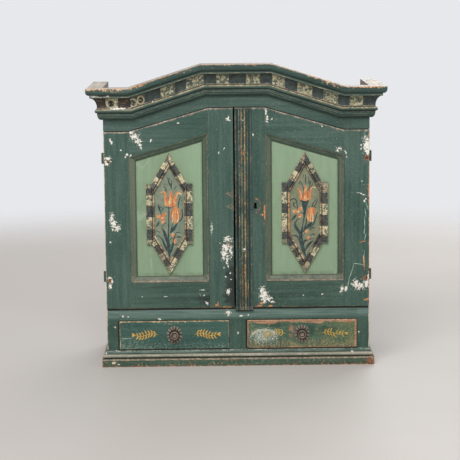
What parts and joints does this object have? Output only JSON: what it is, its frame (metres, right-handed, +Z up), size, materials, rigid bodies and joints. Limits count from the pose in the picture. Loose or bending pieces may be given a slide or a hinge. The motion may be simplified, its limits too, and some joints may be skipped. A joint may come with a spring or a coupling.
{
  "type": "cupboard",
  "caption": "Painted two-door cupboard with an arched cornice, panelled doors with raised hexagon frames, a reeded closing strip and drawers below.",
  "frame": {"origin": "centre of the bounding box at the base, on the surface that it stands on", "axes": "+X to the right, +Y to the back, +Z up; the doors face -Y"},
  "size_m": [0.944, 0.387, 0.968],
  "materials": {
    "green_paint": "worn dark grey-green oil paint on softwood",
    "frieze_paint": "worn blue-green oil paint on softwood",
    "cornice_paint": "worn green paint with light and dark blocks in the cove",
    "panel_paint": "light green oil paint on softwood",
    "moulding_paint": "olive green oil paint on softwood",
    "block_paint": "light and dark painted blocks on softwood",
    "strip_paint": "green paint, worn through on the ridges",
    "worn_paint": "green paint worn down to the wood",
    "bare_wood": "old unpainted softwood",
    "iron": "dark wrought iron"
  },
  "bodies": {
    "case": {"side_left": "green_paint", "side_right": "green_paint", "roof_board": "bare_wood", "deck_board": "bare_wood", "floor_board": "bare_wood", "shelf": "bare_wood", "shelf_cleats": "bare_wood", "back_boards": "bare_wood", "frieze_board": "frieze_paint", "drawer_rail": "green_paint", "frame_stiles": "green_paint", "drawer_post": "green_paint", "lower_rail": "green_paint", "drawer_partition": "bare_wood", "drawer_guides": "bare_wood", "base_boards": "green_paint", "base_mouldings": "green_paint", "cornice_centre": "cornice_paint", "cornice_slopes": "cornice_paint", "cornice_flats": "cornice_paint", "cornice_returns": "cornice_paint", "hinge_case_leaves": "iron", "hinge_pins": "iron", "hinge_case_nails": "iron"},
    "left_door": {"left_outer_stile": "green_paint", "left_inner_stile": "green_paint", "left_top_rail": "green_paint", "left_bottom_rail": "green_paint", "left_panel": "panel_paint", "left_panel_moulding": "moulding_paint", "left_hexagon": "block_paint", "left_hinge_leaves": "iron", "left_hinge_nails": "iron", "rod_guides": "iron", "lock_keeper": "iron"},
    "rod_bolt": {"rod_bolt": "iron"},
    "right_door": {"right_outer_stile": "green_paint", "right_inner_stile": "green_paint", "right_top_rail": "green_paint", "right_bottom_rail": "green_paint", "right_panel": "panel_paint", "right_panel_moulding": "moulding_paint", "right_hexagon": "block_paint", "right_hinge_leaves": "iron", "right_hinge_nails": "iron", "centre_strip": "strip_paint", "keyhole_plate": "iron", "lock_case": "iron"},
    "lock_bolt": {"lock_bolt": "iron"},
    "left_drawer": {"left_drawer_front": "green_paint", "left_drawer_sides": "bare_wood", "left_drawer_back": "bare_wood", "left_drawer_bottom": "bare_wood", "left_drawer_pull": "iron"},
    "right_drawer": {"right_drawer_front": "worn_paint", "right_drawer_sides": "bare_wood", "right_drawer_back": "bare_wood", "right_drawer_bottom": "bare_wood", "right_drawer_pull": "iron"}
  },
  "joints": [
    {"name": "left_door_hinge", "type": "hinge", "parent": "case", "child": "left_door", "pos_m": [-0.4255, -0.11915, 0.4795], "axis": [0, 0, -1], "range_deg": [0, 180]},
    {"name": "right_door_hinge", "type": "hinge", "parent": "case", "child": "right_door", "pos_m": [0.4255, -0.11915, 0.4795], "axis": [0, 0, 1], "range_deg": [0, 180]},
    {"name": "left_drawer_slide", "type": "slide", "parent": "case", "child": "left_drawer", "axis": [0, -1, 0], "range_m": [0, 0.24]},
    {"name": "right_drawer_slide", "type": "slide", "parent": "case", "child": "right_drawer", "axis": [0, -1, 0], "range_m": [0, 0.24]},
    {"name": "lock_bolt_slide", "type": "slide", "parent": "right_door", "child": "lock_bolt", "axis": [-1, 0, 0], "range_m": [0, 0.016]},
    {"name": "rod_bolt_slide", "type": "slide", "parent": "left_door", "child": "rod_bolt", "axis": [0, 0, -1], "range_m": [0, 0.018]}
  ]
}
